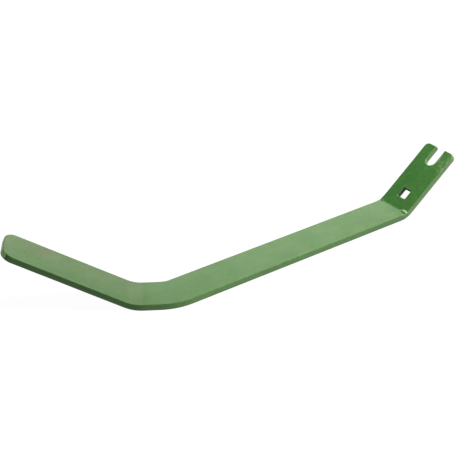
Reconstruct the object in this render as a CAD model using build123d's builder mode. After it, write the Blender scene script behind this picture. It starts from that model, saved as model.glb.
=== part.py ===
from build123d import *
import os
from math import cos, radians, sin, tan

os.makedirs("parts", exist_ok=True)

# Harrow tine: one flat bar, punched, rounded at its free end and bent three times.
# Frame: the straight shank lies along X with its underside on Z = 0. The origin is on the shank's centre
# line, where the shank runs into the edgewise bend. +X goes to the clamping head, and the leg leaves towards
# -X and +Y.

# Bar stock
bar_width = 50.0
bar_thickness = 8.0
edge_round = 1.0

# Shank: from the edgewise bend to the fold line on the bar's upper face
shank_length = 340.0

# Clamping head, folded up flatwise; its length is from the fold line to the end of the prongs
head_angle = 38.0
head_length = 102.0
prong_corner_radius = 6.0

# Fold of the head: it takes up the reach on each side of the fold line. The bar swells sideways where the
# tight inside is squeezed and draws in where the outside is stretched.
head_fold_reach = 14.0
head_fold_inner_radius = 6.0
head_fold_outer_radius = 20.0
head_fold_swell = 0.7
head_fold_neck = 0.9
head_fold_blend = 2.8

# Ears squeezed out at the two inside corners of that fold: long round lumps that lie across the bar.
# Their centres are placed ahead of the fold line, in from the bar's side and down from its upper face.
near_ear_radius = 3.1
near_ear_half_length = 6.0
near_ear_ahead = 1.6
near_ear_inset = 4.8
near_ear_depth = 0.4
far_ear_radius = 2.2
far_ear_half_length = 4.6
far_ear_ahead = 1.0
far_ear_inset = 4.0
far_ear_depth = 1.0

# Square hole for the neck of a carriage bolt, from the fold line to its centre. It is punched from the upper
# face: its rim is drawn in round, and its sides run straight for the land's depth and widen to the exit size.
square_hole_size = 13.5
square_hole_exit_size = 15.3
square_hole_from_fold = 23.5
hole_land_depth = 3.0
hole_corner_radius = 1.0
hole_rim_round = 0.9

# Open slot in the end of the head
slot_width = 16.0
slot_depth = 28.5
slot_mouth_radius = 2.5

# Edgewise bend between the shank and the toe
edge_bend_angle = 32.0
edge_bend_inner_radius = 22.0
toe_length = 20.0

# Working leg, folded up flatwise from the toe
leg_angle = 28.0
leg_fold_radius = 40.0
leg_length = 154.0
leg_corner_radius = 14.0

# Worked out from the sizes above
half_width = bar_width / 2
edge_bend_radius = edge_bend_inner_radius + half_width
head_straight = head_length - head_fold_reach
slot_end_centre = head_length - slot_depth + slot_width / 2
square_hole_place = square_hole_from_fold - head_fold_reach
fold_half_angle = radians(head_angle / 2)
waist_half_length = head_fold_reach * cos(fold_half_angle) - head_fold_blend


def rim(piece, plane, seams):
    """The edges round both faces of a flat piece, without the two at each seam where the bar goes on."""
    edges = piece.edges().filter_by(plane)
    for station in seams:
        edges = edges.sort_by_distance(station.origin)[2:]
    return edges


def face_plane(station):
    """The plane of the bar's underside at a station: local X runs along the bar, local Z out of its top."""
    return Plane(station.origin, x_dir=station.z_dir, z_dir=station.y_dir)


# Shank, edgewise bend and toe: one flat band that follows its centre line
with BuildPart() as band:
    with BuildSketch(Plane.XY):
        with BuildLine():
            shank_line = Line((shank_length - head_fold_reach, 0), (0, 0))
            bend_line = JernArc((0, 0), (-1, 0), radius=edge_bend_radius, arc_size=-edge_bend_angle)
            toe_line = Line(bend_line @ 1, bend_line @ 1 + (bend_line % 1) * toe_length)
        trace(line_width=bar_width)
    extrude(amount=bar_thickness)

# Stations, planes across the bar: local Z runs along the bar and local Y out of its upper face
head_start = Plane(shank_line @ 0, x_dir=(0, 1, 0), z_dir=(1, 0, 0))
head_base = Plane(
    head_start * Location((0, bar_thickness, head_fold_reach))
    * Location((0, 0, 0), (-head_angle, 0, 0))
    * Location((0, -bar_thickness, head_fold_reach))
)
leg_start = Plane(toe_line @ 1, x_dir=Vector(0, 0, 1).cross(toe_line % 1), z_dir=toe_line % 1)
to_fold_centre = Location((0, bar_thickness + leg_fold_radius, 0))
leg_fold_centre = leg_start * to_fold_centre
leg_base = Plane(leg_fold_centre * Location((0, 0, 0), (-leg_angle, 0, 0)) * to_fold_centre.inverse())

with band:
    fillet(rim(band, Plane.XY, (head_start, leg_start)), radius=edge_round)

# Clamping head: a flat plate with the square hole and the open slot between its two prongs
with BuildPart() as head:
    with BuildSketch(face_plane(head_base)):
        Rectangle(head_straight, bar_width, align=(Align.MIN, Align.CENTER))
        with Locations((slot_end_centre - head_fold_reach, 0)):
            Circle(slot_width / 2, mode=Mode.SUBTRACT)
            Rectangle(slot_depth, slot_width, align=(Align.MIN, Align.CENTER), mode=Mode.SUBTRACT)
        end_corners = vertices().group_by(Axis.X)[-1].sort_by(Axis.Y)
        fillet((end_corners[0], end_corners[3]), radius=prong_corner_radius)
        fillet((end_corners[1], end_corners[2]), radius=slot_mouth_radius)
    extrude(amount=bar_thickness)
    fillet(rim(head, face_plane(head_base), (head_base,)), radius=edge_round)
    with BuildSketch(face_plane(head_base)):
        with Locations((square_hole_place, 0)):
            RectangleRounded(square_hole_exit_size, square_hole_exit_size, radius=hole_corner_radius)
    with BuildSketch(face_plane(head_base).offset(bar_thickness - hole_land_depth)) as hole_land:
        with Locations((square_hole_place, 0)):
            RectangleRounded(square_hole_size, square_hole_size, radius=hole_corner_radius)
    loft(ruled=True, mode=Mode.SUBTRACT)
    extrude(hole_land.sketch, amount=hole_land_depth, mode=Mode.SUBTRACT)
    upper_face = faces().sort_by(Axis(head_base.origin, head_base.y_dir))[-1]
    fillet(upper_face.inner_wires()[0].edges(), radius=hole_rim_round)

# Fold of the head: the side view of the fold as a prism wider than the bar, cut to the bar's width by a waist
# that is wider at the inside of the fold than at the outside
fold_plane = Plane(
    origin=(shank_length, 0, bar_thickness),
    x_dir=(cos(fold_half_angle), 0, sin(fold_half_angle)),
    z_dir=(-sin(fold_half_angle), 0, cos(fold_half_angle)),
)


def runs_along_fold(edge):
    """Whether an edge follows the bar through the fold, and doesn't cross it or go through its thickness."""
    return abs((edge % 0.5).dot(fold_plane.x_dir)) > cos(2 * fold_half_angle)


fold_thickness = bar_thickness / cos(fold_half_angle)
waist_bottom = -1.15 * fold_thickness
waist_top = 0.85 * fold_thickness
with BuildPart() as head_fold:
    with BuildSketch(Plane.XZ):
        with BuildLine():
            under_end = head_base.origin
            upper_end = head_base.from_local_coords((0, bar_thickness, 0))
            under_line = FilletPolyline(
                (head_start.origin.X, 0),
                (shank_length + bar_thickness * tan(fold_half_angle), 0),
                (under_end.X, under_end.Z),
                radius=head_fold_outer_radius,
            )
            upper_line = FilletPolyline(
                (head_start.origin.X, bar_thickness),
                (shank_length, bar_thickness),
                (upper_end.X, upper_end.Z),
                radius=head_fold_inner_radius,
            )
            Line(under_line @ 0, upper_line @ 0)
            Line(under_line @ 1, upper_line @ 1)
        make_face()
    extrude(amount=bar_width, both=True)
    for height in (waist_bottom, waist_top):
        bulge = head_fold_swell + height / fold_thickness * (head_fold_swell + head_fold_neck)
        with BuildSketch(fold_plane.offset(height)):
            with BuildLine():
                far_side = Spline(
                    (-waist_half_length, half_width),
                    (0, half_width + bulge),
                    (waist_half_length, half_width),
                    tangents=((1, 0), (1, 0), (1, 0)),
                )
                near_side = Spline(
                    (waist_half_length, -half_width),
                    (0, -half_width - bulge),
                    (-waist_half_length, -half_width),
                    tangents=((-1, 0), (-1, 0), (-1, 0)),
                )
                beyond = waist_half_length + bar_thickness
                Polyline(far_side @ 1, (beyond, half_width), (beyond, -half_width), near_side @ 0)
                Polyline(near_side @ 1, (-beyond, -half_width), (-beyond, half_width), far_side @ 0)
            make_face()
    loft(ruled=True, mode=Mode.INTERSECT)
    fillet(edges().filter_by(runs_along_fold), radius=edge_round)

# Working leg: a flat plate with both corners of its free end rounded
with BuildPart() as leg:
    with BuildSketch(face_plane(leg_base)):
        Rectangle(leg_length, bar_width, align=(Align.MIN, Align.CENTER))
        fillet(vertices().group_by(Axis.X)[-1], radius=leg_corner_radius)
    extrude(amount=bar_thickness)
    fillet(rim(leg, face_plane(leg_base), (leg_base,)), radius=edge_round)

# Ears of the head's fold: spheroids turned about lines that lie across the bar
with BuildPart() as ears:
    for side, radius, half_length, ahead, inset, depth in (
        (-1, near_ear_radius, near_ear_half_length, near_ear_ahead, near_ear_inset, near_ear_depth),
        (1, far_ear_radius, far_ear_half_length, far_ear_ahead, far_ear_inset, far_ear_depth),
    ):
        centre = Vector(shank_length + ahead, side * (half_width - inset), bar_thickness - depth)
        with BuildSketch(Plane(centre, x_dir=(0, 1, 0), z_dir=(1, 0, 0))):
            Ellipse(half_length, radius)
            Rectangle(2 * half_length, radius, align=(Align.CENTER, Align.MAX), mode=Mode.SUBTRACT)
        revolve(axis=Axis(centre, (0, 1, 0)), revolution_arc=360)

# The whole tine: the leg's fold goes on from the toe, and all the pieces join up
with BuildPart() as tine_bar:
    add(band.part)
    with BuildSketch(leg_start):
        with Locations((0, bar_thickness / 2)):
            RectangleRounded(bar_width, bar_thickness, radius=edge_round)
    revolve(axis=Axis(leg_fold_centre.position, -leg_start.x_dir), revolution_arc=leg_angle)
    add(head_fold.part)
    add(head.part)
    add(leg.part)
    add(ears.part)

tine_bar.part.label = "tine_bar"
export_step(tine_bar.part, "parts/tine_bar.step")
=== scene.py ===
from math import cos, radians, sin
from types import SimpleNamespace

import bpy
from mathutils import Matrix, Vector

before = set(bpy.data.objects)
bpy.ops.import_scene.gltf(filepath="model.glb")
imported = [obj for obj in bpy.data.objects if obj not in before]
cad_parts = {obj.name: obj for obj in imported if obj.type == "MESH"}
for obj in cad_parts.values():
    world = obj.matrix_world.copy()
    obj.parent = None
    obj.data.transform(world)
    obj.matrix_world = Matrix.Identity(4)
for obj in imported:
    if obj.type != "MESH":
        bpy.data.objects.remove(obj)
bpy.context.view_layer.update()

# Camera: the photo's viewing angle. Its places are in metres, its roll in degrees, and its lens and sensor in
# millimetres.
CAMERA_PLACE = Vector((-0.6456, -0.9844, 0.7637))
CAMERA_AIM = Vector((0.1177, 0.0683, 0.0200))
CAMERA_ROLL = -0.20
CAMERA_LENS = 93.46
CAMERA_SENSOR = 36.0

# Studio: a softly glowing floor, and soft boxes round the tine
FLOOR_SIZE = 12.0
FLOOR_COLOUR = (0.05, 0.05, 0.05)
FLOOR_GLOW = 0.97
FLOOR_ROUGHNESS = 0.9
STUDIO_CENTRE = Vector((0.12, 0.04, 0.03))
SOFT_BOX_DISTANCE = 2.2
SOFT_BOX_SIZE = 1.4
# Each soft box: name, azimuth from +X towards +Y, elevation, watts, colour
SOFT_BOXES = (
    ("front_right", 315.0, 50.0, 125.0, (1.0, 1.0, 1.0)),
    ("overhead", 0.0, 90.0, 12.0, (1.0, 1.0, 0.95)),
    ("back", 45.0, 35.0, 18.0, (1.0, 1.0, 0.82)),
)

# The bar: the part's own sizes, in metres, and its bends
BAR_WIDTH = 0.050
BAR_THICKNESS = 0.008
SHANK_LENGTH = 0.340
HEAD_ANGLE = radians(38.0)
EDGE_BEND_ANGLE = radians(32.0)
EDGE_BEND_INNER_RADIUS = 0.022
TOE_LENGTH = 0.020
LEG_ANGLE = radians(28.0)
LEG_FOLD_RADIUS = 0.040
LEG_LENGTH = 0.154

# Worked out from them: where the head and the leg begin, and which way they lie. The leg's base is on the
# bar's underside, and its across goes from the near side to the far side.
ORIGIN = Vector((0.0, 0.0, 0.0))
UP = Vector((0.0, 0.0, 1.0))
FOLD_LINE = Vector((SHANK_LENGTH, 0.0, BAR_THICKNESS))
HEAD_UP = Vector((-sin(HEAD_ANGLE), 0.0, cos(HEAD_ANGLE)))
EDGE_BEND_RADIUS = EDGE_BEND_INNER_RADIUS + BAR_WIDTH / 2
EDGE_BEND_END = EDGE_BEND_RADIUS * Vector((-sin(EDGE_BEND_ANGLE), 1 - cos(EDGE_BEND_ANGLE), 0.0))
TOE_ALONG = Vector((-cos(EDGE_BEND_ANGLE), sin(EDGE_BEND_ANGLE), 0.0))
UNDERSIDE_RADIUS = LEG_FOLD_RADIUS + BAR_THICKNESS
LEG_FOLD_STEP = UNDERSIDE_RADIUS * (sin(LEG_ANGLE) * TOE_ALONG + (1 - cos(LEG_ANGLE)) * UP)
LEG_BASE = EDGE_BEND_END + TOE_LENGTH * TOE_ALONG + LEG_FOLD_STEP
LEG_ALONG = cos(LEG_ANGLE) * TOE_ALONG + sin(LEG_ANGLE) * UP
LEG_ACROSS = Vector((sin(EDGE_BEND_ANGLE), cos(EDGE_BEND_ANGLE), 0.0))
LEG_UP = cos(LEG_ANGLE) * UP - sin(LEG_ANGLE) * TOE_ALONG

# Masks of the bar's stretches and surfaces. Each is two values of what it is measured by: where it begins to
# show, and where it is full.
# Along X, in metres: the head, and its part with the square hole, which ends before the slot
HEAD_BEGINS = (SHANK_LENGTH - 0.0015, SHANK_LENGTH + 0.0025)
HOLE_PART_ENDS = (SHANK_LENGTH + 0.046, SHANK_LENGTH + 0.040)
# Along the leg from its base, in metres
LEG_BEGINS = (-0.028, -0.008)
LEG_FOLD_BEGINS = (-0.020, -0.011)
LEG_FOLD_ENDS = (0.003, -0.003)
LEG_TIP_BEGINS = (LEG_LENGTH - 0.0065, LEG_LENGTH - 0.0043)
# Across the bar from its near side to its far side, and away from the middle, which holds the hole and the
# slot, in metres
NEAR_TO_FAR = (-0.4 * BAR_WIDTH, 0.4 * BAR_WIDTH)
MIDDLE_ENDS = (0.0125, 0.0095)
# Up from the bar's underside, in metres
LOW_SHADE_ENDS = (0.0035, 0.0)
WEAR_ENDS = (0.0075, 0.001)
ABOVE_FACES = (BAR_THICKNESS + 0.0001, BAR_THICKNESS + 0.0007)
# How far a surface looks along the bar's own up or down: 1 on its faces and 0 on its sides
FACE_TO_SIDE = (0.55, 0.25)
FACE_TO_ARRIS = (0.95, 0.80)
SIDE_TO_ARRIS = (0.15, 0.40)

# Paint: linear colours on the shank, the head and the leg, and of what covers them in places, some of it
# painted shade and painted light. The shank's and the leg's go from the near side, the outside of the
# edgewise bend, to the far side.
SHANK_NEAR_PAINT = (0.0425, 0.110, 0.0328)
SHANK_FAR_PAINT = (0.049, 0.119, 0.0383)
HEAD_PAINT = (0.037, 0.131, 0.0295)
HEAD_MOTTLE = (0.061, 0.147, 0.035)
LEG_NEAR_PAINT = (0.0325, 0.083, 0.0245)
LEG_FAR_PAINT = (0.050, 0.092, 0.0365)
SIDE_PAINT = (0.053, 0.126, 0.0335)
# Painted shade: the leg's sides, darker than the other sides
LEG_SIDE_SHADE_PAINT = (0.022, 0.075, 0.0095)
YELLOWER_PAINT = (0.075, 0.130, 0.015)
# Painted light: the leg's end, lighter than the paint elsewhere
LEG_END_LIGHT_PAINT = (0.230, 0.350, 0.150)
# Painted highlight, and painted light on the shaded flank of the near ear
EAR_HIGHLIGHT_PAINT = (0.245, 0.370, 0.195)
# Painted shade in the leg's fold
FOLD_SHADE_PAINT = (0.016, 0.055, 0.008)
# Painted shade on the walls of the square hole
HOLE_SHADE_PAINT = (0.012, 0.032, 0.008)
# Painted shade on the arrises of the shank and the leg
ARRIS_SHADE_PAINT = (0.022, 0.058, 0.013)
WORN_PAINT = (0.130, 0.165, 0.095)
# Painted shade: greyer, darker paint low on the sides of the shank and the leg
LOW_SIDE_SHADE = (0.085, 0.095, 0.070)
STAIN = (0.070, 0.062, 0.034)
LIGHT_PAINT = (0.160, 0.245, 0.105)
LIGHT_BEND_PAINT = (0.074, 0.142, 0.064)
# Painted reflection: a lighter patch where the leg begins
LEG_REFLECTION_PAINT = (0.065, 0.115, 0.055)

# How much of each cover shows where its mask is full. The wear on the head's sides grows from the first share
# to the second towards the underside.
FOLD_SHADE_SHARE = 0.14
ARRIS_SHADE_SHARE = 0.60
LOW_SHADE_SHARE = 0.45
ARRIS_WEAR = 0.50
SIDE_WEAR = (0.10, 0.70)
WEAR_LOST_IN_MIDDLE = 0.20
HOLE_SHADE_SHARE = 0.80

# Sheen: the paint's gloss, and how much rougher it is where it is worn or carries painted shade low on the
# sides, on the arrises of the shank and the leg, and in the hole
SPECULAR = 0.255
ROUGHER_WORN_AND_SHADED_LOW = 0.20
ROUGHER_ARRIS = 0.15
ROUGHER_HOLE = 0.40

# Noise masks on the paint: the noise's scale per metre, its detail, the two noise values between which the
# mask changes, and the two levels between which it changes there
HEAD_MOTTLES = (130.0, 3.0, 0.42, 0.64, 0.0, 0.45)
HUE_DRIFT = (70.0, 3.0, 0.35, 0.65, 0.0, 0.10)
CLOUDS = (16.0, 3.0, 0.3, 0.7, 0.96, 1.04)
FINE_MOTTLE = (260.0, 3.0, 0.3, 0.7, 0.94, 1.06)
STREAKS = (120.0, 2.0, 0.3, 0.7, 0.975, 1.025)
SCUFFS = (90.0, 4.0, 0.35, 0.65, 0.65, 1.0)
SPECKS = (240.0, 3.0, 0.42, 0.62, 0.0, 1.0)
DULL_CLOUDS = (45.0, 3.0, 0.3, 0.7, 0.31, 0.39)
# All the noises have the same roughness, and the streaks are drawn out along X
NOISE_ROUGHNESS = 0.55
STREAK_SQUEEZE = (0.12, 1.0, 1.0)

# Bump: orange peel, and the slight unevenness of rolled bar, each as a noise scale per metre and a height in
# metres
BUMPS = ((520.0, 0.00006), (55.0, 0.0004))
BUMP_STRENGTH = 0.5

# Patches on the faces: place and half sizes along X, Y and Z in metres, colour, strength, and whether they
# are speckled. A patch fades in between the two levels of its rim, on a scale from 0 at its half sizes to 1
# at its centre. The rim is made ragged by a noise, less its middle value and with a reach in metres.
PATCH_RIM = (0.15, 0.75)
RAG_SCALE = 330.0
RAG_MIDDLE = (0.5, 0.5, 0.5)
RAG_REACH = 0.009
PATCHES = {
    "stain_low": ((-0.1295, 0.0875, 0.0620), (0.018, 0.014, 0.019), STAIN, 0.45, False),
    "stain_middle": ((-0.0750, 0.0515, 0.0272), (0.011, 0.007, 0.012), STAIN, 0.45, False),
    "stain_high": ((-0.0574, 0.0260, 0.0120), (0.006, 0.012, 0.010), STAIN, 0.12, False),
    "light_bend": ((-0.0040, 0.0240, 0.0080), (0.065, 0.022, 0.020), LIGHT_BEND_PAINT, 0.45, False),
    # Painted reflection where the leg begins
    "painted_reflection_leg": ((-0.0720, 0.0360, 0.0215), (0.030, 0.032, 0.024), LEG_REFLECTION_PAINT, 0.25, False),
    "light_prong": ((0.4070, -0.0215, 0.0603), (0.028, 0.012, 0.028), LIGHT_PAINT, 0.65, True),
    "light_slot": ((0.4080, -0.0095, 0.0611), (0.021, 0.0032, 0.021), LIGHT_PAINT, 0.75, False),
    "light_hole": ((0.3530, 0.0073, 0.0181), (0.003, 0.002, 0.004), LIGHT_PAINT, 0.32, False),
}

# The near ear of the head's fold: its centre, and the half sizes and the rim of a round patch that covers it
# and carries a painted highlight
NEAR_EAR = FOLD_LINE + Vector((0.0016, 0.0048 - BAR_WIDTH / 2, -0.0004))
EAR_PATCH_SIZES = (0.011, 0.011, 0.011)
EAR_PATCH_RIM = (0.10, 0.40)


def polar(azimuth, elevation, distance):
    """A point round the studio's centre, with both angles in degrees."""
    turn, rise = radians(azimuth), radians(elevation)
    return STUDIO_CENTRE + distance * Vector((cos(rise) * cos(turn), cos(rise) * sin(turn), sin(rise)))


def aimed(place, target, roll=0.0):
    """The matrix of a camera or light that stands at place and looks at target."""
    turn = (target - place).to_track_quat("-Z", "Y").to_matrix().to_4x4()
    return Matrix.Translation(place) @ turn @ Matrix.Rotation(radians(roll), 4, "Z")


def add_camera():
    data = bpy.data.cameras.new("camera")
    data.lens = CAMERA_LENS
    data.sensor_width = CAMERA_SENSOR
    camera = bpy.data.objects.new("camera", data)
    camera.matrix_world = aimed(CAMERA_PLACE, CAMERA_AIM, CAMERA_ROLL)
    bpy.context.scene.collection.objects.link(camera)
    bpy.context.scene.camera = camera


def add_soft_box(name, azimuth, elevation, watts, colour):
    data = bpy.data.lights.new(name, "AREA")
    data.size = SOFT_BOX_SIZE
    data.energy = watts
    data.color = colour
    light = bpy.data.objects.new(name, data)
    light.matrix_world = aimed(polar(azimuth, elevation, SOFT_BOX_DISTANCE), STUDIO_CENTRE)
    bpy.context.scene.collection.objects.link(light)


def add_room():
    """A dark room, so that only the floor and the soft boxes give light."""
    world = bpy.data.worlds.new("room")
    world.use_nodes = True
    world.node_tree.nodes["Background"].inputs["Color"].default_value = (0, 0, 0, 1)
    bpy.context.scene.world = world


def new_material(name):
    material = bpy.data.materials.new(name)
    material.use_nodes = True
    return material, material.node_tree, material.node_tree.nodes["Principled BSDF"]


def add_floor():
    half = FLOOR_SIZE / 2
    corners = [(-half, -half, 0), (half, -half, 0), (half, half, 0), (-half, half, 0)]
    mesh = bpy.data.meshes.new("floor")
    mesh.from_pydata(corners, [], [(0, 1, 2, 3)])
    floor = bpy.data.objects.new("floor", mesh)
    bpy.context.scene.collection.objects.link(floor)
    material, _, shader = new_material("floor")
    shader.inputs["Base Color"].default_value = (*FLOOR_COLOUR, 1)
    shader.inputs["Emission Color"].default_value = (1, 1, 1, 1)
    shader.inputs["Emission Strength"].default_value = FLOOR_GLOW
    shader.inputs["Roughness"].default_value = FLOOR_ROUGHNESS
    shader.inputs["Specular IOR Level"].default_value = 0.0
    mesh.materials.append(material)


def add_node(tree, kind, inputs=(), **settings):
    """Adds a node; inputs are pairs of a socket's name or number and a value or another node's output."""
    node = tree.nodes.new(kind)
    for name, value in settings.items():
        setattr(node, name, value)
    for key, value in inputs:
        if isinstance(value, bpy.types.NodeSocket):
            tree.links.new(value, node.inputs[key])
        else:
            node.inputs[key].default_value = value
    return node


def calculate(tree, operation, first, second=0.0):
    """A math node on one or two numbers, each a value or another node's output."""
    return add_node(tree, "ShaderNodeMath", ((0, first), (1, second)), operation=operation).outputs[0]


def multiply(tree, *factors):
    """The product of two or more numbers, each a value or another node's output."""
    product = factors[0]
    for factor in factors[1:]:
        product = calculate(tree, "MULTIPLY", product, factor)
    return product


def inverse(tree, share):
    """What a share leaves of the whole."""
    return calculate(tree, "SUBTRACT", 1.0, share)


def shift(tree, operation, vector, by):
    """Adds or subtracts two vectors, each a value or another node's output."""
    return add_node(tree, "ShaderNodeVectorMath", ((0, vector), (1, by)), operation=operation).outputs[0]


def scale(tree, vector, by):
    """A vector or a colour times a number."""
    inputs = ((0, vector), ("Scale", by))
    return add_node(tree, "ShaderNodeVectorMath", inputs, operation="SCALE").outputs[0]


def measure(tree, place, start, direction):
    """How far a place is from the start along the direction, or how far a normal looks along it."""
    inputs = ((0, shift(tree, "SUBTRACT", place, start)), (1, direction))
    return add_node(tree, "ShaderNodeVectorMath", inputs, operation="DOT_PRODUCT").outputs["Value"]


def remap(tree, value, low, high, to_low=0.0, to_high=1.0):
    """A smooth step from to_low to to_high while the value goes from low to high."""
    names = ("Value", "From Min", "From Max", "To Min", "To Max")
    inputs = zip(names, (value, low, high, to_low, to_high))
    return add_node(tree, "ShaderNodeMapRange", inputs, interpolation_type="SMOOTHSTEP").outputs[0]


def noise(tree, place, size, detail=2.0, output="Fac"):
    inputs = (("Vector", place), ("Scale", size), ("Detail", detail), ("Roughness", NOISE_ROUGHNESS))
    return add_node(tree, "ShaderNodeTexNoise", inputs).outputs[output]


def noise_mask(tree, place, size, detail, *levels):
    """A smooth step on a noise; the levels are those of remap."""
    return remap(tree, noise(tree, place, size, detail), *levels)


def between(tree, share, first, second):
    """A number that goes from the first to the second as the share goes from 0 to 1."""
    return add_node(tree, "ShaderNodeMix", ((0, share), (2, first), (3, second))).outputs[0]


def blend(tree, share, first, second):
    """Mixes two colours, each a linear colour or another node's output."""
    colours = [value if isinstance(value, bpy.types.NodeSocket) else (*value, 1) for value in (first, second)]
    inputs = ((0, share), (6, colours[0]), (7, colours[1]))
    return add_node(tree, "ShaderNodeMix", inputs, data_type="RGBA").outputs[2]


def patch(tree, place, centre, half_sizes, rim=PATCH_RIM):
    """A soft blob: 1 near its centre and 0 outside its half sizes."""
    inputs = (("Vector", place), ("Location", centre), ("Scale", half_sizes))
    local = add_node(tree, "ShaderNodeMapping", inputs, vector_type="TEXTURE").outputs[0]
    ball = add_node(tree, "ShaderNodeTexGradient", ((0, local),), gradient_type="SPHERICAL").outputs["Fac"]
    return remap(tree, ball, *rim)


def find_on_bar(tree):
    """Where a point is: its place, masks of the bar's stretches and surfaces, and its height in the bar."""
    bar = SimpleNamespace(place=add_node(tree, "ShaderNodeTexCoord").outputs["Object"])
    station = add_node(tree, "ShaderNodeSeparateXYZ", ((0, bar.place),)).outputs

    # Along the bar
    leg_along = measure(tree, bar.place, LEG_BASE, LEG_ALONG)
    bar.on_head = remap(tree, station["X"], *HEAD_BEGINS)
    bar.off_head = inverse(tree, bar.on_head)
    bar.on_leg = remap(tree, leg_along, *LEG_BEGINS)
    into_leg_fold = remap(tree, leg_along, *LEG_FOLD_BEGINS)
    bar.in_leg_fold = multiply(tree, into_leg_fold, remap(tree, leg_along, *LEG_FOLD_ENDS))

    # Across the bar
    leg_across = measure(tree, bar.place, LEG_BASE, LEG_ACROSS)
    bar.far = remap(tree, between(tree, bar.on_leg, station["Y"], leg_across), *NEAR_TO_FAR)
    bar.in_middle = remap(tree, calculate(tree, "ABSOLUTE", station["Y"]), *MIDDLE_ENDS)

    # Up through the bar, and how far a surface looks that way. The head and the leg have their own up.
    normal = add_node(tree, "ShaderNodeNewGeometry").outputs["Normal"]
    height = station["Z"]
    facing = measure(tree, normal, ORIGIN, UP)
    bent_parts = ((bar.on_head, FOLD_LINE, HEAD_UP, BAR_THICKNESS), (bar.on_leg, LEG_BASE, LEG_UP, 0.0))
    for share, start, up, start_height in bent_parts:
        own_height = calculate(tree, "ADD", measure(tree, bar.place, start, up), start_height)
        height = between(tree, share, height, own_height)
        facing = between(tree, share, facing, measure(tree, normal, ORIGIN, up))
    facing = calculate(tree, "ABSOLUTE", facing)
    bar.height = height
    bar.on_side = remap(tree, facing, *FACE_TO_SIDE)
    bar.on_face = inverse(tree, bar.on_side)
    bar.on_arris = multiply(tree, remap(tree, facing, *FACE_TO_ARRIS), remap(tree, facing, *SIDE_TO_ARRIS))

    # Small places: the square hole and its walls, the leg's end and the near ear
    bar.in_hole = multiply(tree, bar.on_head, bar.in_middle, remap(tree, station["X"], *HOLE_PART_ENDS))
    bar.hole_walls = multiply(tree, bar.in_hole, bar.on_side)
    bar.leg_end = multiply(tree, bar.on_side, remap(tree, leg_along, *LEG_TIP_BEGINS))
    bar.by_ear = patch(tree, bar.place, NEAR_EAR, EAR_PATCH_SIZES, EAR_PATCH_RIM)
    return bar


def paint_stretches(tree, bar):
    """The paint of the shank, the head, the leg and its fold, and of the sides, with painted shade in the
    leg's fold and on the leg's sides.
    """
    head = blend(tree, noise_mask(tree, bar.place, *HEAD_MOTTLES), HEAD_PAINT, HEAD_MOTTLE)
    colour = blend(tree, bar.far, SHANK_NEAR_PAINT, SHANK_FAR_PAINT)
    colour = blend(tree, bar.on_head, colour, head)
    colour = blend(tree, bar.on_leg, colour, blend(tree, bar.far, LEG_NEAR_PAINT, LEG_FAR_PAINT))
    # Painted shade in the leg's fold
    colour = blend(tree, multiply(tree, bar.in_leg_fold, FOLD_SHADE_SHARE), colour, FOLD_SHADE_PAINT)
    # The sides, with painted shade on the leg's sides
    return blend(tree, bar.on_side, colour, blend(tree, bar.on_leg, SIDE_PAINT, LEG_SIDE_SHADE_PAINT))


def cloud(tree, bar, colour):
    """Drifting hue, clouds, fine mottling and faint rolling streaks."""
    colour = blend(tree, noise_mask(tree, bar.place, *HUE_DRIFT), colour, YELLOWER_PAINT)
    inputs = (("Vector", bar.place), ("Scale", STREAK_SQUEEZE))
    streak_place = add_node(tree, "ShaderNodeMapping", inputs).outputs[0]
    clouds = noise_mask(tree, bar.place, *CLOUDS)
    mottle = noise_mask(tree, bar.place, *FINE_MOTTLE)
    streaks = noise_mask(tree, streak_place, *STREAKS)
    return scale(tree, colour, multiply(tree, clouds, mottle, streaks))


def wear_and_painted_light(tree, bar, colour):
    """Painted shade on the arrises and low on the sides of the shank and leg, and worn edges round the head.

    Returns the colour, and how worn a point is and how much painted shade lies low on its side.
    """
    # Painted shade on the arrises of the shank and the leg, but not by the near ear
    arris_shade = multiply(tree, bar.on_arris, bar.off_head, inverse(tree, bar.by_ear), ARRIS_SHADE_SHARE)
    colour = blend(tree, arris_shade, colour, ARRIS_SHADE_PAINT)
    # Painted shade: greyer, darker paint low on the sides of the shank and the leg
    low_shade_amount = remap(tree, bar.height, *LOW_SHADE_ENDS, 0.0, LOW_SHADE_SHARE)
    shaded_low = multiply(tree, bar.on_side, bar.off_head, low_shade_amount)
    colour = blend(tree, shaded_low, colour, LOW_SIDE_SHADE)

    scuffs = noise_mask(tree, bar.place, *SCUFFS)
    low_wear = remap(tree, bar.height, *WEAR_ENDS, *SIDE_WEAR)
    middle_share = inverse(tree, multiply(tree, bar.in_middle, WEAR_LOST_IN_MIDDLE))
    side_wear = multiply(tree, bar.on_side, low_wear, middle_share)
    edge_wear = calculate(tree, "ADD", side_wear, multiply(tree, bar.on_arris, ARRIS_WEAR))
    worn = multiply(tree, bar.on_head, inverse(tree, bar.in_hole), scuffs, edge_wear)
    colour = blend(tree, worn, colour, WORN_PAINT)

    # Painted shade on the walls in the hole, painted light on the leg's end, and a painted highlight where
    # the near ear stands up
    colour = blend(tree, multiply(tree, bar.hole_walls, HOLE_SHADE_SHARE), colour, HOLE_SHADE_PAINT)
    colour = blend(tree, bar.leg_end, colour, LEG_END_LIGHT_PAINT)
    # Painted highlight and painted light on the near ear
    ear_highlight = multiply(tree, remap(tree, bar.height, *ABOVE_FACES), scuffs, bar.by_ear)
    return blend(tree, ear_highlight, colour, EAR_HIGHLIGHT_PAINT), worn, shaded_low


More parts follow.
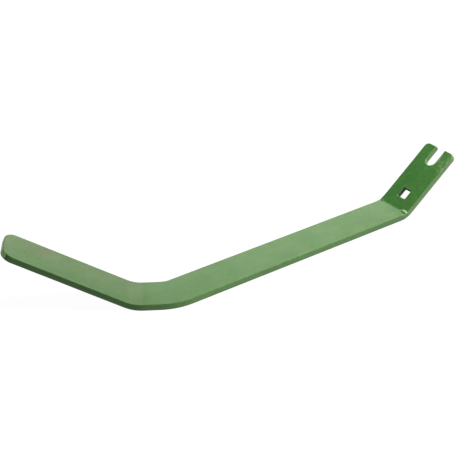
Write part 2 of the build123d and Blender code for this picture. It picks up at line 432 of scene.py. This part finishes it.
def add_patches(tree, bar, colour):
    """Stains, lighter patches and a painted reflection on the leg, with ragged rims, on the faces alone."""
    rag = noise(tree, bar.place, RAG_SCALE, output="Color")
    rag = scale(tree, shift(tree, "SUBTRACT", rag, RAG_MIDDLE), RAG_REACH)
    ragged = shift(tree, "ADD", bar.place, rag)
    specks = noise_mask(tree, bar.place, *SPECKS)
    for centre, half_sizes, own_colour, strength, speckled in PATCHES.values():
        share = multiply(tree, patch(tree, ragged, centre, half_sizes), strength, bar.on_face)
        if speckled:
            share = multiply(tree, share, specks)
        colour = blend(tree, share, colour, own_colour)
    return colour


def roughness(tree, bar, worn, shaded_low):
    """Dull and smooth clouds, and duller where the paint is worn or has painted shade low on the sides, on
    the arrises and in the hole.
    """
    dull = noise_mask(tree, bar.place, *DULL_CLOUDS)
    rougher = (
        multiply(tree, calculate(tree, "ADD", worn, shaded_low), ROUGHER_WORN_AND_SHADED_LOW),
        multiply(tree, bar.on_arris, bar.off_head, ROUGHER_ARRIS),
        multiply(tree, bar.hole_walls, ROUGHER_HOLE),
    )
    for extra in rougher:
        dull = calculate(tree, "ADD", dull, extra)
    return dull


def bumped_normal(tree, bar):
    """The surface's own normal, with each bump laid over the one before it."""
    earlier = ()
    for size, bump_height in BUMPS:
        height = noise(tree, bar.place, size)
        inputs = (("Height", height), ("Strength", BUMP_STRENGTH), ("Distance", bump_height), *earlier)
        normal = add_node(tree, "ShaderNodeBump", inputs).outputs[0]
        earlier = (("Normal", normal),)
    return normal


def green_paint():
    """Enamel on bent bar: clouded and mottled, worn at the edges, with painted shade and painted highlights,
    and patchy with stains.
    """
    material, tree, shader = new_material("tine_paint")
    bar = find_on_bar(tree)
    colour = cloud(tree, bar, paint_stretches(tree, bar))
    colour, worn, shaded_low = wear_and_painted_light(tree, bar, colour)
    tree.links.new(add_patches(tree, bar, colour), shader.inputs["Base Color"])
    tree.links.new(roughness(tree, bar, worn, shaded_low), shader.inputs["Roughness"])
    tree.links.new(bumped_normal(tree, bar), shader.inputs["Normal"])
    shader.inputs["Specular IOR Level"].default_value = SPECULAR
    return material


def dress(node, material):
    """Gives a CAD node its finish."""
    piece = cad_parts[node]
    for slot in piece.material_slots:
        slot.material = material


bpy.context.scene.view_settings.view_transform = "Standard"
add_camera()
add_room()
add_floor()
for soft_box in SOFT_BOXES:
    add_soft_box(*soft_box)
dress("tine_bar", green_paint())
